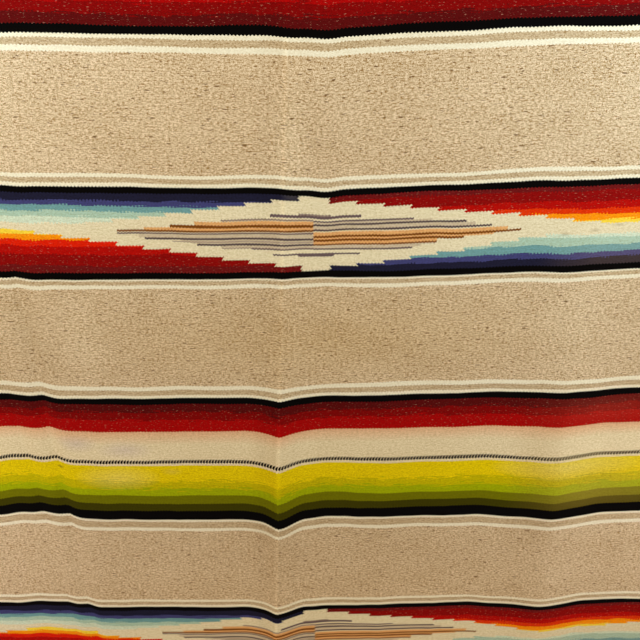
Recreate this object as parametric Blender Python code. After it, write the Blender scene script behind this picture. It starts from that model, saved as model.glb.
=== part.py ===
"""Mexican serape: one weft-faced wool panel with a knotted warp fringe at each end.

The blanket lies face up on a floor. X runs across it from selvedge to selvedge, Y runs along
the warp, and Z is up. The origin is on the floor under the middle of the blanket.

Pieces: web (the woven panel), fringe_head and fringe_foot (the warp ends knotted in locks,
each row of locks held by the narrow heading that the warps leave).
"""
import bpy
import numpy as np

MM = 0.001

# Driving sizes of the cloth
WARP_PITCH = 1.783 * MM
WIDTH = 1.220
LENGTH = 2.097
WALL = 2.2 * MM
SEAM_GAP = 0.3 * MM

# Grid of the panel: its even spacing, and how near two of its lines may come
ROW_STEP = 0.105
COLUMN_STEP = 0.042
CLOSEST_ROWS = 0.030
CLOSEST_COLUMNS = 0.004

# Where a fold gets its own lines, as shares of its reach: closer on a pressed crest
PRESSED_FROM = 0.5
PRESSED_LINES = (-1.0, -0.35, 0.0, 0.35, 1.0)
SOFT_LINES = (-0.8, 0.0, 0.8)

# Fringe: each knot gathers twelve warps
WARPS_IN_KNOT = 12
KNOT_PITCH = WARPS_IN_KNOT * WARP_PITCH
KNOT_COUNT = int(WIDTH / KNOT_PITCH)
HEADING_WIDTH = 5.0 * MM
LOCK_CLEARANCE = 0.5 * MM
LOCK_SWAY = 3.0 * MM
LOCK_TRIM = 6.0 * MM
LOCK_SETTLE = 30.0 * MM

# One lock of fringe from the heading to its tip: along, width and height in mm
LOCK_SECTIONS = (
    # name,      along, width, height
    ("root",      0.0,  15.0,  2.2),
    ("gather",    8.0,   5.6,  3.6),
    ("knot",     12.5,   8.6,  6.4),
    ("neck",     17.5,   5.0,  3.8),
    ("body",     48.0,   7.4,  3.4),
    ("skirt",    80.0,   8.4,  2.8),
    ("tip",      95.0,   4.6,  1.8),
)

# Places along the warp where the folds are given their heights
STATIONS = (-1.050, -0.550, -0.280, -0.100, 0.050, 0.155, 0.550, 1.050)

# Storage folds: where each lies across the cloth, its lean (m across for each m along), the
# reach of its foot, how sharp its crest is (0 soft, 1 pressed), and its lift in mm at STATIONS.
# A negative lift is a pressed valley in the swell round it.
FOLDS = (
    # name,            across,  lean, reach, sharp, lift at each station
    ("centre fold",    -0.033,  0.035, 0.045, 0.8, (6.0, 12.0, 14.0, 3.0, 1.5, 3.0, 7.0, 4.0)),
    ("centre hump",     0.008,  0.00, 0.058, 0.0, (0.0, 2.0, 0.0, 0.0, 1.0, 8.0, 3.0, 0.0)),
    ("right fold",      0.290, -0.02, 0.060, 0.2, (4.0, 8.0, 11.0, 4.0, 1.0, 0.0, 3.0, 5.0)),
    ("left swell",     -0.300,  0.00, 0.120, 0.0, (3.0, 7.0, 8.0, 7.0, 5.0, 3.0, 3.0, 3.0)),
    ("left valley",    -0.328, -0.05, 0.018, 1.0, (-2.0, -4.0, -5.0, -4.5, -3.5, -1.0, -2.0, -2.0)),
    ("outer valley",   -0.372, -0.08, 0.016, 0.9, (0.0, -2.0, -3.0, 0.0, 0.0, 0.0, 0.0, 0.0)),
    ("left pucker",    -0.500,  0.03, 0.090, 0.3, (5.0, 4.0, 3.0, 2.0, 4.0, 5.0, 6.0, 3.0)),
    ("right pucker",    0.480, -0.03, 0.080, 0.3, (4.0, 3.0, 2.0, 3.0, 5.0, 4.0, 3.0, 6.0)),
)

# How far the weft bows along Y where the cloth was laid down askew: across in m, shift in mm
BOW = (
    # across, shift
    (-0.610,  0.0),
    (-0.400,  1.0),
    (-0.350, -2.0),
    (-0.280, -7.0),
    (-0.120, -8.0),
    (-0.030, -7.0),
    (0.040,  -5.2),
    (0.140,  -2.5),
    (0.250,   0.8),
    (0.320,   3.5),
    (0.400,   6.0),
    (0.610,   8.0),
)

# Selvedges: how far the edges draw in and out along the length
EDGE_WAVE = 2.0 * MM
EDGE_WAVE_LENGTH = 0.62


def clear_scene():
    """Remove every object that the new file starts with."""
    for thing in list(bpy.data.objects):
        bpy.data.objects.remove(thing, do_unlink=True)


def cloth_material(name, colour, roughness):
    """A plain dyed-wool material."""
    material = bpy.data.materials.new(name)
    material.use_nodes = True
    shader = material.node_tree.nodes["Principled BSDF"]
    shader.inputs["Base Color"].default_value = (*colour, 1.0)
    shader.inputs["Roughness"].default_value = roughness
    shader.inputs["Metallic"].default_value = 0.0
    return material


def eased(places, values, at):
    """Values between the given places, joined by smoothstep curves instead of straight runs."""
    places = np.asarray(places)
    values = np.asarray(values)
    at = np.clip(at, places[0], places[-1])
    left = np.clip(np.searchsorted(places, at, side="right") - 1, 0, len(places) - 2)
    part = (at - places[left]) / (places[left + 1] - places[left])
    part = part * part * (3.0 - 2.0 * part)
    return values[left] * (1.0 - part) + values[left + 1] * part


def fold_height(across, along):
    """Height of the cloth's underside above the floor, summed over the folds, never below 0.

    With q the distance from a fold's line over its reach, the fold is lift * (1 - q)^2 where it
    is pressed sharp and lift * (1 - q)^2 * (1 + 2q) where it is soft, and 0 past its reach.
    """
    height = np.zeros(np.broadcast(across, along).shape)
    for _name, place, lean, reach, sharp, lifts in FOLDS:
        q = np.clip(np.abs(across - place - lean * along) / reach, 0.0, 1.0)
        profile = (1.0 - q) ** 2 * (1.0 + 2.0 * q * (1.0 - sharp))
        height = height + eased(STATIONS, lifts, along) * MM * profile
    return np.maximum(height, 0.0)


def laid(across, along):
    """Where a point of the flat cloth lies on the floor: x and y."""
    edge_share = (2.0 * across / WIDTH) ** 3
    draw_in = EDGE_WAVE * np.sin(2.0 * np.pi * along / EDGE_WAVE_LENGTH) * edge_share
    bow = eased([row[0] for row in BOW], [row[1] for row in BOW], across) * MM
    return across + draw_in, along + bow


def grid_lines(size, step, marks, closest):
    """Even lines across a size centred on 0, with the marked ones put in where they fit."""
    even = np.linspace(-size / 2, size / 2, int(round(size / step)) + 1)
    marks = np.array([mark for mark in marks if abs(mark) < size / 2 - closest])
    inner = [line for line in even[1:-1] if np.abs(marks - line).min() > closest * 2.0]
    lines = np.sort(np.concatenate([[even[0], even[-1]], inner, marks]))
    apart = np.concatenate([[True], np.diff(lines) > closest])
    return lines[apart]


def panel_columns():
    """Lines along the warp: evenly spread, and on the crest, slopes and feet of each fold."""
    marks = []
    for _name, place, _lean, reach, sharp, _lifts in FOLDS:
        shares = PRESSED_LINES if sharp > PRESSED_FROM else SOFT_LINES
        marks += [place + reach * share for share in shares]
    return grid_lines(WIDTH, COLUMN_STEP, marks, CLOSEST_COLUMNS)


def panel_rows():
    """Lines along the weft: evenly spread, and at each station of the folds."""
    return grid_lines(LENGTH, ROW_STEP, STATIONS, CLOSEST_ROWS)


def new_object(name, points, faces, material):
    """An object from an array of points and an array of four-sided faces."""
    mesh = bpy.data.meshes.new(name)
    mesh.from_pydata(points.tolist(), [], faces.tolist())
    mesh.materials.append(material)
    thing = bpy.data.objects.new(name, mesh)
    bpy.context.collection.objects.link(thing)
    return thing


def web(material):
    """The woven panel, selvedge to selvedge: a wall over a grid, closed round its four edges."""
    across, along = np.meshgrid(panel_columns(), panel_rows())
    x, y = laid(across, along)
    under = np.stack([x, y, fold_height(across, along)], axis=-1).reshape(-1, 3)
    points = np.concatenate([under, under + np.array([0.0, 0.0, WALL])])
    count = len(under)
    index = np.arange(count).reshape(across.shape)
    a, b = index[:-1, :-1].ravel(), index[:-1, 1:].ravel()
    c, d = index[1:, 1:].ravel(), index[1:, :-1].ravel()
    border = np.concatenate([index[0, :-1], index[:-1, -1], index[-1, :0:-1], index[:0:-1, 0]])
    ahead = np.roll(border, -1)
    faces = np.concatenate([
        np.stack([a, d, c, b], axis=1),
        np.stack([a, b, c, d], axis=1) + count,
        np.stack([border, ahead, ahead + count, border + count], axis=1),
    ])
    return new_object("web", points, faces, material)


def panel_end(across, side):
    """Points on the panel's end edge, read along its straight facets: x, y and lift."""
    columns = panel_columns()
    along = np.full_like(columns, side * LENGTH / 2)
    x, y = laid(columns, along)
    lift = fold_height(columns, along)
    return tuple(np.interp(across, columns, values) for values in (x, y, lift))


def lock_noise(index, salt):
    """A fixed number from -1 to 1 for each lock, so that no two locks lie alike."""
    return 2.0 * ((np.sin(index * 12.9898 + salt * 78.233) * 43758.5453) % 1.0) - 1.0


def lock_rings(root, side):
    """Corners of every section of every lock past its root: lock, section, corner, xyz.

    root holds the middle of each lock's root on the heading. A lock keeps its side of the
    row, sways a little more towards its tip, and comes down to lie just above the floor.
    """
    sections = np.array([row[1:] for row in LOCK_SECTIONS[1:]]) * MM
    reach, width, height = sections.T
    share = reach / reach[-1]
    knot = np.arange(KNOT_COUNT)[:, None]
    sway = lock_noise(knot, side + 3.0) * LOCK_SWAY * share ** 1.5
    trim = lock_noise(knot, side) * LOCK_TRIM * share ** 2
    sink = root[:, 2:] * np.exp(-((reach / LOCK_SETTLE) ** 2)) + LOCK_CLEARANCE
    x = root[:, :1] + sway
    y = root[:, 1:2] + side * (reach + trim)
    corners = []
    for to_right, to_top in ((-0.5, 0.0), (0.5, 0.0), (0.5, 1.0), (-0.5, 1.0)):
        corners.append(np.stack([x + to_right * width, y, sink + to_top * height], axis=-1))
    return np.stack(corners, axis=2)


def fringe(name, side, material):
    """A row of knotted locks on their heading, past the panel's end where y has this side.

    The heading is a narrow wall as thick as the cloth. Each lock is a four-sided tube that
    goes out from the heading's outer face through LOCK_SECTIONS.
    """
    middle = (np.arange(KNOT_COUNT) - (KNOT_COUNT - 1) / 2) * KNOT_PITCH
    root_half = LOCK_SECTIONS[0][2] * MM / 2
    across = np.stack([middle - root_half, middle + root_half], axis=1).ravel()
    across[0], across[-1] = -WIDTH / 2, WIDTH / 2
    x, y, lift = panel_end(across, side)
    edge_in = np.stack([x, y + side * SEAM_GAP, lift], axis=1)
    edge_out = edge_in + np.array([0.0, side * HEADING_WIDTH, 0.0])
    up = np.array([0.0, 0.0, WALL])
    root = 0.5 * (edge_out[0::2] + edge_out[1::2])
    rings = lock_rings(root, side)
    points = np.concatenate([
        edge_in, edge_in + up, edge_out, edge_out + up, rings.reshape(-1, 3),
    ])

    in_low, in_top, out_low, out_top = np.arange(4 * len(across)).reshape(4, -1)
    outer_wall = np.stack([out_low[1:], out_low[:-1], out_top[:-1], out_top[1:]], axis=1)
    faces = [
        np.stack([in_low[:-1], in_low[1:], in_top[1:], in_top[:-1]], axis=1),
        np.stack([in_top[:-1], in_top[1:], out_top[1:], out_top[:-1]], axis=1),
        np.stack([in_low[1:], in_low[:-1], out_low[:-1], out_low[1:]], axis=1),
        outer_wall[1::2],
        np.array([[in_low[0], in_top[0], out_top[0], out_low[0]]]),
        np.array([[in_low[-1], out_low[-1], out_top[-1], in_top[-1]]]),
    ]
    first = np.stack([out_low[0::2], out_low[1::2], out_top[1::2], out_top[0::2]], axis=1)
    later = 4 * len(across) + np.arange(rings[..., 0].size).reshape(rings.shape[:3])
    ring = np.concatenate([first[:, None, :], later], axis=1)
    beside = np.roll(ring, -1, axis=2)
    tube = np.stack([beside[:, :-1], ring[:, :-1], ring[:, 1:], beside[:, 1:]], axis=-1)
    faces += [tube.reshape(-1, 4), ring[:, -1, ::-1]]
    faces = np.concatenate(faces)
    if side < 0.0:
        faces = faces[:, ::-1]
    return new_object(name, points, faces, material)


def main():
    clear_scene()
    wool = cloth_material("heathered_tan_wool", (0.50, 0.38, 0.24), 0.95)
    cotton = cloth_material("warp_cotton", (0.62, 0.54, 0.40), 0.90)
    web(wool)
    fringe("fringe_head", 1.0, cotton)
    fringe("fringe_foot", -1.0, cotton)


main()
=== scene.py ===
# %% [markdown]
# # A Mexican serape, laid out flat
# This lesson dresses a plain solid of a handwoven serape: a wool blanket of Saltillo kind, with
# rainbow bands and a stepped diamond. The solid gives the true size, the folds and the fringe's
# reach. Everything here lies on that solid, in the same frame: X across the blanket, Y along its
# warp, Z up from the floor.

# %% Load the solid and keep its box
import math

import bpy
import numpy as np
from mathutils import Matrix, Vector


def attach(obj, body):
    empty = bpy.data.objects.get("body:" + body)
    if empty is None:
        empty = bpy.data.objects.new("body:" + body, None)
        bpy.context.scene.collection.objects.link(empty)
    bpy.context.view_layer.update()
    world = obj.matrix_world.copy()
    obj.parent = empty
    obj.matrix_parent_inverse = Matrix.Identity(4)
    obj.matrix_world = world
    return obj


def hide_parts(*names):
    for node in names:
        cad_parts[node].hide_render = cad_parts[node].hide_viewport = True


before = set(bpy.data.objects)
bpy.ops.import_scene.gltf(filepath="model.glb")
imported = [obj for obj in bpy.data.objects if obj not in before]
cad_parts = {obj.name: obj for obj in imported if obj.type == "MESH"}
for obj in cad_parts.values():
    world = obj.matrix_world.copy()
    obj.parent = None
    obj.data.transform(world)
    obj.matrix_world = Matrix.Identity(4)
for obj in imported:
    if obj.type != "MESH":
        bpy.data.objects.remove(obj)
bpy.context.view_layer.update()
MM = 0.001

# %% [markdown]
# ## Sizes of the weaving
# A serape is weft-faced: the wool weft is beaten down until it hides the cotton warp. So every
# size across the cloth is a number of warps, and the pattern steps sideways by whole counts of
# them. The colour edges show teeth two warps wide, because each pass of weft covers every
# second warp. The bands' heights were worked out from the photograph through its perspective.

# %% Named sizes
WARP_PITCH = 1.783 * MM
TOOTH = 2 * WARP_PITCH
WIDTH = 1.220
LENGTH = 2.097
HEADING = 5.3 * MM
WALL = 2.2 * MM
STEP_LEFT, STEP_RIGHT = 28.25 * MM, 28.70 * MM
PICK = 0.95 * MM
BAND_REPEAT = 0.589
print("warps across the cloth:", round(WIDTH / WARP_PITCH))

# %% [markdown]
# ## How the cloth lies
# The blanket was stored folded, so it keeps ridges and pressed lines along its warp. The solid
# holds the large ones. A fold is a bump across the cloth whose lift changes along it, and it
# also drags the weft along with it, which bends the stripes where they cross it. Cloth
# simulation would not give these particular folds, so they are given in short tables.

# %% Folds, drags and bow
STATIONS = (-1.050, -0.550, -0.280, -0.100, 0.050, 0.155, 0.550, 1.050)
FOLDS = (
    # name,           across,  lean, reach, sharp, lift in mm at each station
    ("centre fold",   -0.033,  0.035, 0.045, 0.8, (6.0, 12.0, 14.0, 3.0, 1.5, 3.0, 7.0, 4.0)),
    ("centre hump",    0.008,  0.00, 0.058, 0.0, (0.0, 2.0, 0.0, 0.0, 1.0, 8.0, 3.0, 0.0)),
    ("right fold",     0.290, -0.02, 0.060, 0.2, (4.0, 8.0, 11.0, 4.0, 1.0, 0.0, 3.0, 5.0)),
    ("left swell",    -0.300,  0.00, 0.120, 0.0, (3.0, 7.0, 8.0, 7.0, 5.0, 3.0, 3.0, 3.0)),
    ("left valley",   -0.328, -0.05, 0.018, 1.0, (-2.0, -4.0, -5.0, -4.5, -3.5, -1.0, -2.0, -2.0)),
    ("outer valley",  -0.372, -0.08, 0.016, 0.9, (0.0, -2.0, -3.0, 0.0, 0.0, 0.0, 0.0, 0.0)),
    ("left pucker",   -0.500,  0.03, 0.090, 0.3, (5.0, 4.0, 3.0, 2.0, 4.0, 5.0, 6.0, 3.0)),
    ("right pucker",   0.480, -0.03, 0.080, 0.3, (4.0, 3.0, 2.0, 3.0, 5.0, 4.0, 3.0, 6.0)),
)
PRESS_LINES = (
    # name,           across,  lean, reach, sharp, lift in mm at each station
    ("middle ridge", -0.030,  0.035, 0.018, 0.5, (0.6, 1.0, 1.2, 1.8, 0.9, 1.2, 0.8, 0.4)),
    ("left press",    -0.296,  0.01, 0.010, 0.7, (0.3, 0.5, 0.5, 0.9, 0.4, 0.2, 0.2, 0.2)),
    ("inner press",   -0.165,  0.02, 0.012, 0.5, (0.3, 0.6, 0.6, 0.3, 0.4, 0.2, 0.4, 0.3)),
    ("middle press",   0.075, -0.02, 0.014, 0.5, (0.4, 0.4, 0.3, 0.6, 0.5, 0.2, 0.5, 0.3)),
    ("right press",    0.175,  0.03, 0.010, 0.7, (0.3, 0.5, 0.5, 0.3, 0.2, 0.3, 0.3, 0.4)),
    ("outer press",    0.385, -0.02, 0.014, 0.6, (0.5, 0.3, 0.4, 0.5, 0.4, 0.6, 0.3, 0.5)),
)
SLIP_STATIONS = (-0.900, -0.385, -0.290, -0.200, -0.050, 0.050, 0.500)
SLIPS = (
    # across, shift of the weft towards the head in mm at each slip station
    (-0.400, ( 0.0, -1.0, -5.5,  1.5, -3.0,  0.0,  0.0)),
    (-0.360, ( 0.0,  9.0,  4.5,  1.5, -3.0,  0.0,  0.0)),
    (-0.335, ( 0.0, 10.5,  4.5,  2.0, -2.5,  1.0,  0.0)),
    (-0.310, ( 0.0,  9.5,  7.0,  3.5,  0.0,  3.0,  0.0)),
    (-0.285, ( 0.0,  6.0,  4.5,  2.5,  2.0,  5.0,  0.0)),
    (-0.250, ( 0.0,  3.0,  1.0,  0.5,  0.5,  4.0,  0.0)),
    (-0.200, ( 0.0, -1.0, -1.0, -2.5, -1.0,  2.5,  0.0)),
    (-0.150, ( 0.0, -1.5, -0.5, -0.5,  0.0,  1.5,  0.0)),
    (-0.100, ( 0.0, -0.5, -0.5, -1.0, -0.5,  1.0,  0.0)),
    (-0.070, ( 0.0, -1.0, -0.5, -0.5,  0.0,  1.0,  0.0)),
    (-0.040, ( 0.0, -7.0, -1.5, -1.0,  0.0,  0.5,  0.0)),
    (-0.010, ( 0.0,  0.5,  0.5, -1.0,  0.5, -1.5,  0.0)),
    ( 0.015, ( 0.0,  3.5,  2.0,  0.0,  1.0, -4.5,  0.0)),
    ( 0.035, ( 0.0,  3.0,  1.5,  0.0,  0.0, -2.5,  0.0)),
    ( 0.060, ( 0.0,  1.0,  0.0,  0.0, -1.0, -2.0,  0.0)),
    ( 0.090, ( 0.0,  0.0, -1.0,  0.5, -2.0, -1.5,  0.0)),
    ( 0.140, ( 0.0,  1.0,  0.0,  1.0, -0.5, -1.0,  0.0)),
    ( 0.200, ( 0.0,  1.0,  0.5,  1.0,  0.0,  0.5,  0.0)),
    ( 0.245, ( 0.0, -4.0, -2.0, -1.0,  0.5,  1.5,  0.0)),
    ( 0.270, ( 0.0, -3.0,  0.0,  0.5,  0.0,  1.0,  0.0)),
    ( 0.300, ( 0.0, -4.0,  1.5,  0.5,  1.0, -0.5,  0.0)),
    ( 0.330, ( 0.0, -3.5,  1.5, -1.0,  1.0,  0.5,  0.0)),
    ( 0.370, ( 0.0, -1.0,  0.0,  0.5,  1.0,  0.5,  0.0)),
    ( 0.410, ( 0.0,  0.0,  0.0,  0.5,  1.0,  0.5,  0.0)),
)
BOW = (
    # across, shift in mm
    (-0.610,  0.0),
    (-0.400,  1.0),
    (-0.350, -2.0),
    (-0.280, -7.0),
    (-0.120, -8.0),
    (-0.030, -7.0),
    (0.040,  -5.2),
    (0.140,  -2.5),
    (0.250,   0.8),
    (0.320,   3.5),
    (0.400,   6.0),
    (0.610,   8.0),
)
EDGE_WAVE = 2.0 * MM
EDGE_WAVE_LENGTH = 0.62


def eased(places, values, at):
    """Values between places, joined by the smoothstep curve s * s * (3 - 2 s)."""
    places, values = np.asarray(places), np.asarray(values)
    at = np.clip(at, places[0], places[-1])
    left = np.clip(np.searchsorted(places, at, side="right") - 1, 0, len(places) - 2)
    part = (at - places[left]) / (places[left + 1] - places[left])
    part = part * part * (3.0 - 2.0 * part)
    return values[left] * (1.0 - part) + values[left + 1] * part


def summed(rows, across, along):
    """Sum of the table's bumps: amount(along) * (1 - q)^2 * (1 + 2 q (1 - sharp)), in metres."""
    total = np.zeros(np.broadcast(across, along).shape)
    for _name, place, lean, reach, sharp, amounts in rows:
        q = np.clip(np.abs(across - place - lean * along) / reach, 0.0, 1.0)
        bump = (1.0 - q) ** 2 * (1.0 + 2.0 * q * (1.0 - sharp))
        total = total + eased(STATIONS, amounts, along) * MM * bump
    return total


def slipped(across, along):
    """How far the weft has slipped along the warp: the table, eased across and then along."""
    places = [row[0] for row in SLIPS]
    total = np.zeros(np.broadcast(across, along).shape)
    for number in range(len(SLIP_STATIONS)):
        only_here = [float(other == number) for other in range(len(SLIP_STATIONS))]
        column = eased(places, [row[1][number] for row in SLIPS], across)
        total = total + column * eased(SLIP_STATIONS, only_here, along)
    return total * MM


def laid(across, along):
    """Where a point of the flat cloth lies: x, y and the height of its underside."""
    edge_share = (2.0 * across / WIDTH) ** 3
    draw_in = EDGE_WAVE * np.sin(2.0 * np.pi * along / EDGE_WAVE_LENGTH) * edge_share
    bow = eased([row[0] for row in BOW], [row[1] for row in BOW], across) * MM
    lift = np.maximum(summed(FOLDS, across, along), 0.0) + summed(PRESS_LINES, across, along)
    return across + draw_in, along + bow + slipped(across, along), lift


print("highest fold, mm:", round(float(summed(FOLDS, np.array(-0.049), np.array(-0.28))) / MM, 1))

# %% [markdown]
# ## The woven panel
# The panel is one wall of cloth. Its grid is fine where the folds are and under the diamond, and
# coarser towards the selvedges and ends. Between the folds, wool that has been washed and
# folded is never quite flat, so a few long low waves are added. The edges are rounded over half
# the wall. A UV map keeps each point's place in the flat cloth, in metres, so that the pattern
# is woven into the cloth and bends with it.

# %% Build the panel
FINE_ACROSS, COARSE_ACROSS, FINE_TO_X = 4.5 * MM, 9.0 * MM, 0.42
FINE_ALONG, COARSE_ALONG, FINE_TO_Y = 9.0 * MM, 20.0 * MM, 0.55
EDGE_LINES = np.array([0.0, 0.25, 0.6, 1.1]) * MM
EDGE_ROUNDING = 0.93
WAVES = (
    # length across in m, length along in m, turn in degrees, height in mm
    (0.110, 0.000, 4.0, 0.22),
    (0.047, 0.310, 50.0, 0.12),
    (0.083, 0.190, 140.0, 0.16),
    (0.031, 0.120, 220.0, 0.07),
    (0.190, 0.260, 300.0, 0.25),
)


def grid_lines(half, fine, coarse, fine_to):
    """Lines from -half to half: fine spacing within fine_to, coarse past it, close at edges."""
    inner = np.linspace(-fine_to, fine_to, int(2 * fine_to / fine) + 1)
    outer = np.linspace(fine_to, half - 3.0 * EDGE_LINES[-1], int((half - fine_to) / coarse) + 1)
    edge = half - EDGE_LINES[::-1]
    side = np.concatenate([outer[1:], edge])
    return np.concatenate([-side[::-1], inner, side])


def low_waves(across, along):
    """Long low waves, each height * (1 + sin(2 pi (x / length across + y / length along)))."""
    total = np.zeros(np.broadcast(across, along).shape)
    for length_across, length_along, turn, height in WAVES:
        phase = across / length_across + (along / length_along if length_along else 0.0)
        total = total + 0.5 * height * MM * (1.0 + np.sin(2.0 * np.pi * phase + math.radians(turn)))
    return total


def edge_inset(across, along, half_length):
    """How far each face of the wall is drawn in, so that its edge is nearly half a circle.

    It is radius * (1 - sqrt(1 - rounding * share^2)), with share 1 at the edge and 0 a radius in.
    """
    radius = 0.5 * WALL
    from_edge = np.minimum(WIDTH / 2 - np.abs(across), half_length - np.abs(along))
    share = np.clip(1.0 - from_edge / radius, 0.0, 1.0)
    return radius * (1.0 - np.sqrt(1.0 - EDGE_ROUNDING * share ** 2))


def new_piece(name, points, faces, material, uv=None):
    """A shown mesh from arrays of points and four-sided faces, with a UV map in metres."""
    mesh = bpy.data.meshes.new(name)
    mesh.from_pydata(points.tolist(), [], faces.tolist())
    mesh.shade_smooth()
    mesh.materials.append(material)
    if uv is not None:
        corner = np.empty(len(mesh.loops), dtype=np.int64)
        mesh.loops.foreach_get("vertex_index", corner)
        layer = mesh.uv_layers.new(name="cloth")
        layer.data.foreach_set("uv", uv[corner].astype(np.float32).ravel())
    thing = bpy.data.objects.new(name, mesh)
    bpy.context.collection.objects.link(thing)
    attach(thing, "root")
    return thing


def woven_panel(material):
    """The wall: a lower and an upper grid, joined round the border."""
    half_length = LENGTH / 2 + HEADING
    across, along = np.meshgrid(
        grid_lines(WIDTH / 2, FINE_ACROSS, COARSE_ACROSS, FINE_TO_X),
        grid_lines(half_length, FINE_ALONG, COARSE_ALONG, FINE_TO_Y),
    )
    x, y, lift = laid(across, along)
    lift = lift + low_waves(across, along)
    inset = edge_inset(across, along, half_length)
    under = np.stack([x, y, lift + inset], axis=-1).reshape(-1, 3)
    upper = np.stack([x, y, lift + WALL - inset], axis=-1).reshape(-1, 3)
    flat = np.stack([across, along], axis=-1).reshape(-1, 2)
    count = len(under)
    index = np.arange(count).reshape(across.shape)
    a, b = index[:-1, :-1].ravel(), index[:-1, 1:].ravel()
    c, d = index[1:, 1:].ravel(), index[1:, :-1].ravel()
    border = np.concatenate([index[0, :-1], index[:-1, -1], index[-1, :0:-1], index[:0:-1, 0]])
    ahead = np.roll(border, -1)
    faces = np.concatenate([
        np.stack([a, d, c, b], axis=1),
        np.stack([a, b, c, d], axis=1) + count,
        np.stack([border, ahead, ahead + count, border + count], axis=1),
    ])
    panel = new_piece(
        "woven_panel", np.concatenate([under, upper]), faces, material, np.concatenate([flat, flat])
    )
    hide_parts("web")
    print("panel triangles:", 2 * len(faces))
    return panel


# %% [markdown]
# ## Dyes
# The ground is undyed wool, carded from light and brown fleece, so it looks sandy with dark
# flecks. The bands are dyed wool in steps of one hue. Each dye is an sRGB colour, and each has a
# share of undyed heather, which says how much the fleece itself shows through.

# %% Dye colours
DYES = {
    # name:         colour,    heather
    "tan":         ("#c6aa83", 1.00),
    "line tan":    ("#bba17a", 0.70),
    "white":       ("#e5d8b8", 0.14),
    "cream":       ("#dccba3", 0.25),
    "grey cream":  ("#c3ae8d", 0.30),
    "warm cream":  ("#dec99e", 0.32),
    "black":       ("#060403", 0.05),
    "navy":        ("#1d1b2d", 0.25),
    "indigo":      ("#3e3d68", 0.22),
    "teal":        ("#6a938f", 0.22),
    "aqua":        ("#a4baa0", 0.25),
    "pale aqua":   ("#c8d0b2", 0.30),
    "yellow":      ("#eec838", 0.30),
    "orange":      ("#ee8808", 0.25),
    "red orange":  ("#d41c03", 0.25),
    "flame":       ("#d42f03", 0.25),
    "red":         ("#aa0a04", 0.30),
    "dark red":    ("#840806", 0.35),
    "maroon":      ("#681211", 0.35),
    "deep maroon": ("#540a09", 0.35),
    "blood red":   ("#7a0504", 0.35),
    "carmine":     ("#9e0504", 0.35),
    "gold":        ("#dcbf04", 0.42),
    "citron":      ("#bcab02", 0.38),
    "leaf":        ("#9aa202", 0.32),
    "moss":        ("#6c6a02", 0.22),
    "dark olive":  ("#3b3701", 0.15),
    "violet":      ("#64504f", 0.20),
    "dark violet": ("#4e3e3f", 0.20),
    "grey violet": ("#8b7666", 0.25),
    "apricot":     ("#d79d5f", 0.25),
    "rust":        ("#743f12", 0.20),
    "pale rust":   ("#a2774a", 0.20),
}


def linear(colour):
    """An sRGB hex colour as linear red, green, blue and alpha 1."""
    channels = [int(colour[i:i + 2], 16) / 255.0 for i in (1, 3, 5)]
    return [c / 12.92 if c <= 0.04045 else ((c + 0.055) / 1.055) ** 2.4 for c in channels] + [1.0]


print("dyes:", len(DYES))

# %% [markdown]
# ## The weaver's chart
# A weaver works from a chart of bands, counted from the top of the pattern down. The diamond
# band is counterchanged: its left half runs from blue down to red, and its right half from red
# down to blue. The colour bands are straight, and a cream diamond with stepped edges is cut into
# them. In it lies a smaller diamond of thin stripes. Each chart row is a band and its height in
# mm. For the thin stripes each row also says how many steps the stripe reaches from the middle.

# %% Charts of the bands
TOP_TRIM = (("white", 3.8), ("line tan", 5.3), ("white", 4.3))
LOW_TRIM = (("white", 2.4), ("line tan", 4.8), ("white", 4.8))
LEFT_HALF = TOP_TRIM + (
    ("black", 7.0), ("navy", 8.2), ("indigo", 5.8), ("teal", 5.8), ("aqua", 6.8),
    ("pale aqua", 6.2), ("cream", 7.7), ("yellow", 5.3), ("orange", 5.5), ("red orange", 6.7),
    ("red", 9.5), ("dark red", 12.5), ("maroon", 8.3), ("black", 7.7),
) + LOW_TRIM
RIGHT_HALF = TOP_TRIM + (
    ("black", 7.0), ("maroon", 5.0), ("dark red", 11.6), ("red", 7.9), ("flame", 5.9),
    ("orange", 7.3), ("yellow", 3.8), ("cream", 11.7), ("pale aqua", 3.4), ("aqua", 9.2),
    ("teal", 8.1), ("indigo", 6.9), ("navy", 7.8), ("black", 7.4),
) + LOW_TRIM
RED_SIDE = (
    ("tan", 4.6), ("white", 5.5), ("line tan", 6.9), ("white", 4.1), ("black", 8.9),
    ("deep maroon", 10.1), ("blood red", 11.4), ("carmine", 17.2), ("warm cream", 50.6),
)
GOLD_SIDE = (
    ("gold", 23.3), ("citron", 11.9), ("leaf", 11.2), ("moss", 12.5), ("dark olive", 11.2),
    ("black", 14.3), ("white", 3.2), ("line tan", 9.7), ("white", 4.9), ("tan", 4.0),
)
LEFT_STRIPES = (
    # dye, from, to in mm below the upper black's upper edge, reach in steps
    ("grey violet", 27.0, 29.0, 0.55),
    ("violet",      29.0, 32.2, 1.62),
    ("grey violet", 34.0, 36.0, 3.47),
    ("apricot",     36.4, 40.5, 4.47),
    ("rust",        40.5, 43.6, 5.40),
    ("apricot",     43.6, 46.3, 6.38),
    ("rust",        46.3, 48.7, 7.40),
    ("violet",      49.3, 51.2, 7.40),
    ("grey cream",  51.2, 55.4, 6.60),
    ("dark violet", 55.4, 57.6, 6.38),
    ("grey cream",  57.6, 59.4, 5.00),
    ("grey violet", 59.4, 60.3, 5.35),
    ("grey cream",  60.3, 61.9, 4.60),
    ("dark violet", 61.9, 64.2, 4.42),
    ("grey cream",  64.2, 66.6, 3.50),
    ("grey violet", 66.6, 67.6, 3.47),
    ("violet",      67.6, 69.0, 2.35),
    ("violet",      73.6, 75.6, 1.55),
    ("violet",      75.6, 78.0, 0.58),
)
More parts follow.
